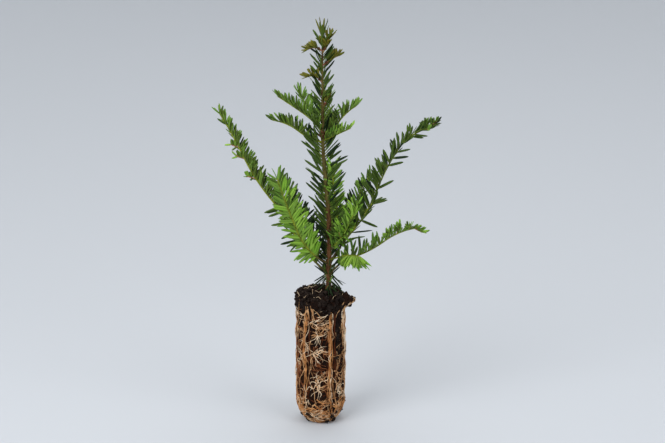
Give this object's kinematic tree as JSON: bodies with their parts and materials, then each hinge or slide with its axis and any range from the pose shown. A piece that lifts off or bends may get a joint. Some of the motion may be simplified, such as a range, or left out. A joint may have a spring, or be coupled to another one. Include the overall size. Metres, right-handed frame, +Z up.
{
  "type": "yew sapling",
  "caption": "Young yew grown in a cell: a slim upright leader with a low ring of long rising boughs and a high ring of short ones, clothed in flat needles, standing on its round root ball.",
  "frame": {"origin": "middle of the root ball's flat underside, on the floor", "axes": "+Z is up, -Y faces the front, and +X is the side of the long right bough"},
  "size_m": [0.2303, 0.1265, 0.4252],
  "materials": {
    "soil": "dark crumbly peat bound by roots",
    "root": "pale tan woody root",
    "bark": "red-brown young bark, matt",
    "twig": "smooth green young rind",
    "deep": "leathery dark green needle with a soft sheen",
    "bright": "fresh yellow-green needle with a soft sheen",
    "bronze": "olive-bronze new needle with a soft sheen"
  },
  "bodies": {
    "root": {"root_ball": "soil", "root_cord_1": "root", "root_cord_2": "root", "root_cord_3": "root", "root_cord_4": "root", "root_cord_5": "root", "root_cord_6": "root", "trunk": "bark", "bough_back": "twig", "bough_back_left": "twig", "bough_back_right": "twig", "bough_left": "twig", "bough_left_front": "twig", "bough_right": "twig", "bough_right_dense": "twig", "bough_right_inner": "twig", "bough_right_low": "twig", "foliage_back": "deep", "foliage_back_left": "deep", "foliage_back_right": "deep", "foliage_left": "deep", "foliage_left_front": "bright", "foliage_low_tuft": "bright", "foliage_right": "deep", "foliage_right_dense": "bright", "foliage_right_inner": "bright", "foliage_right_low": "bright", "foliage_tip_left": "bronze", "foliage_tip_left_low": "bronze", "foliage_tip_right": "bronze", "foliage_tip_right_high": "bronze", "foliage_tip_right_low": "bronze", "foliage_upper_back": "deep", "foliage_upper_back_left": "bright", "foliage_upper_left": "bright", "foliage_upper_left_low": "deep", "foliage_upper_right": "deep", "foliage_upper_right_low": "bright", "leader_bud": "deep", "leader_foot_back": "deep", "leader_foot_front": "deep", "leader_middle_back": "deep", "leader_middle_front": "deep", "leader_upper_back": "deep", "leader_upper_front": "deep"}
  },
  "joints": []
}
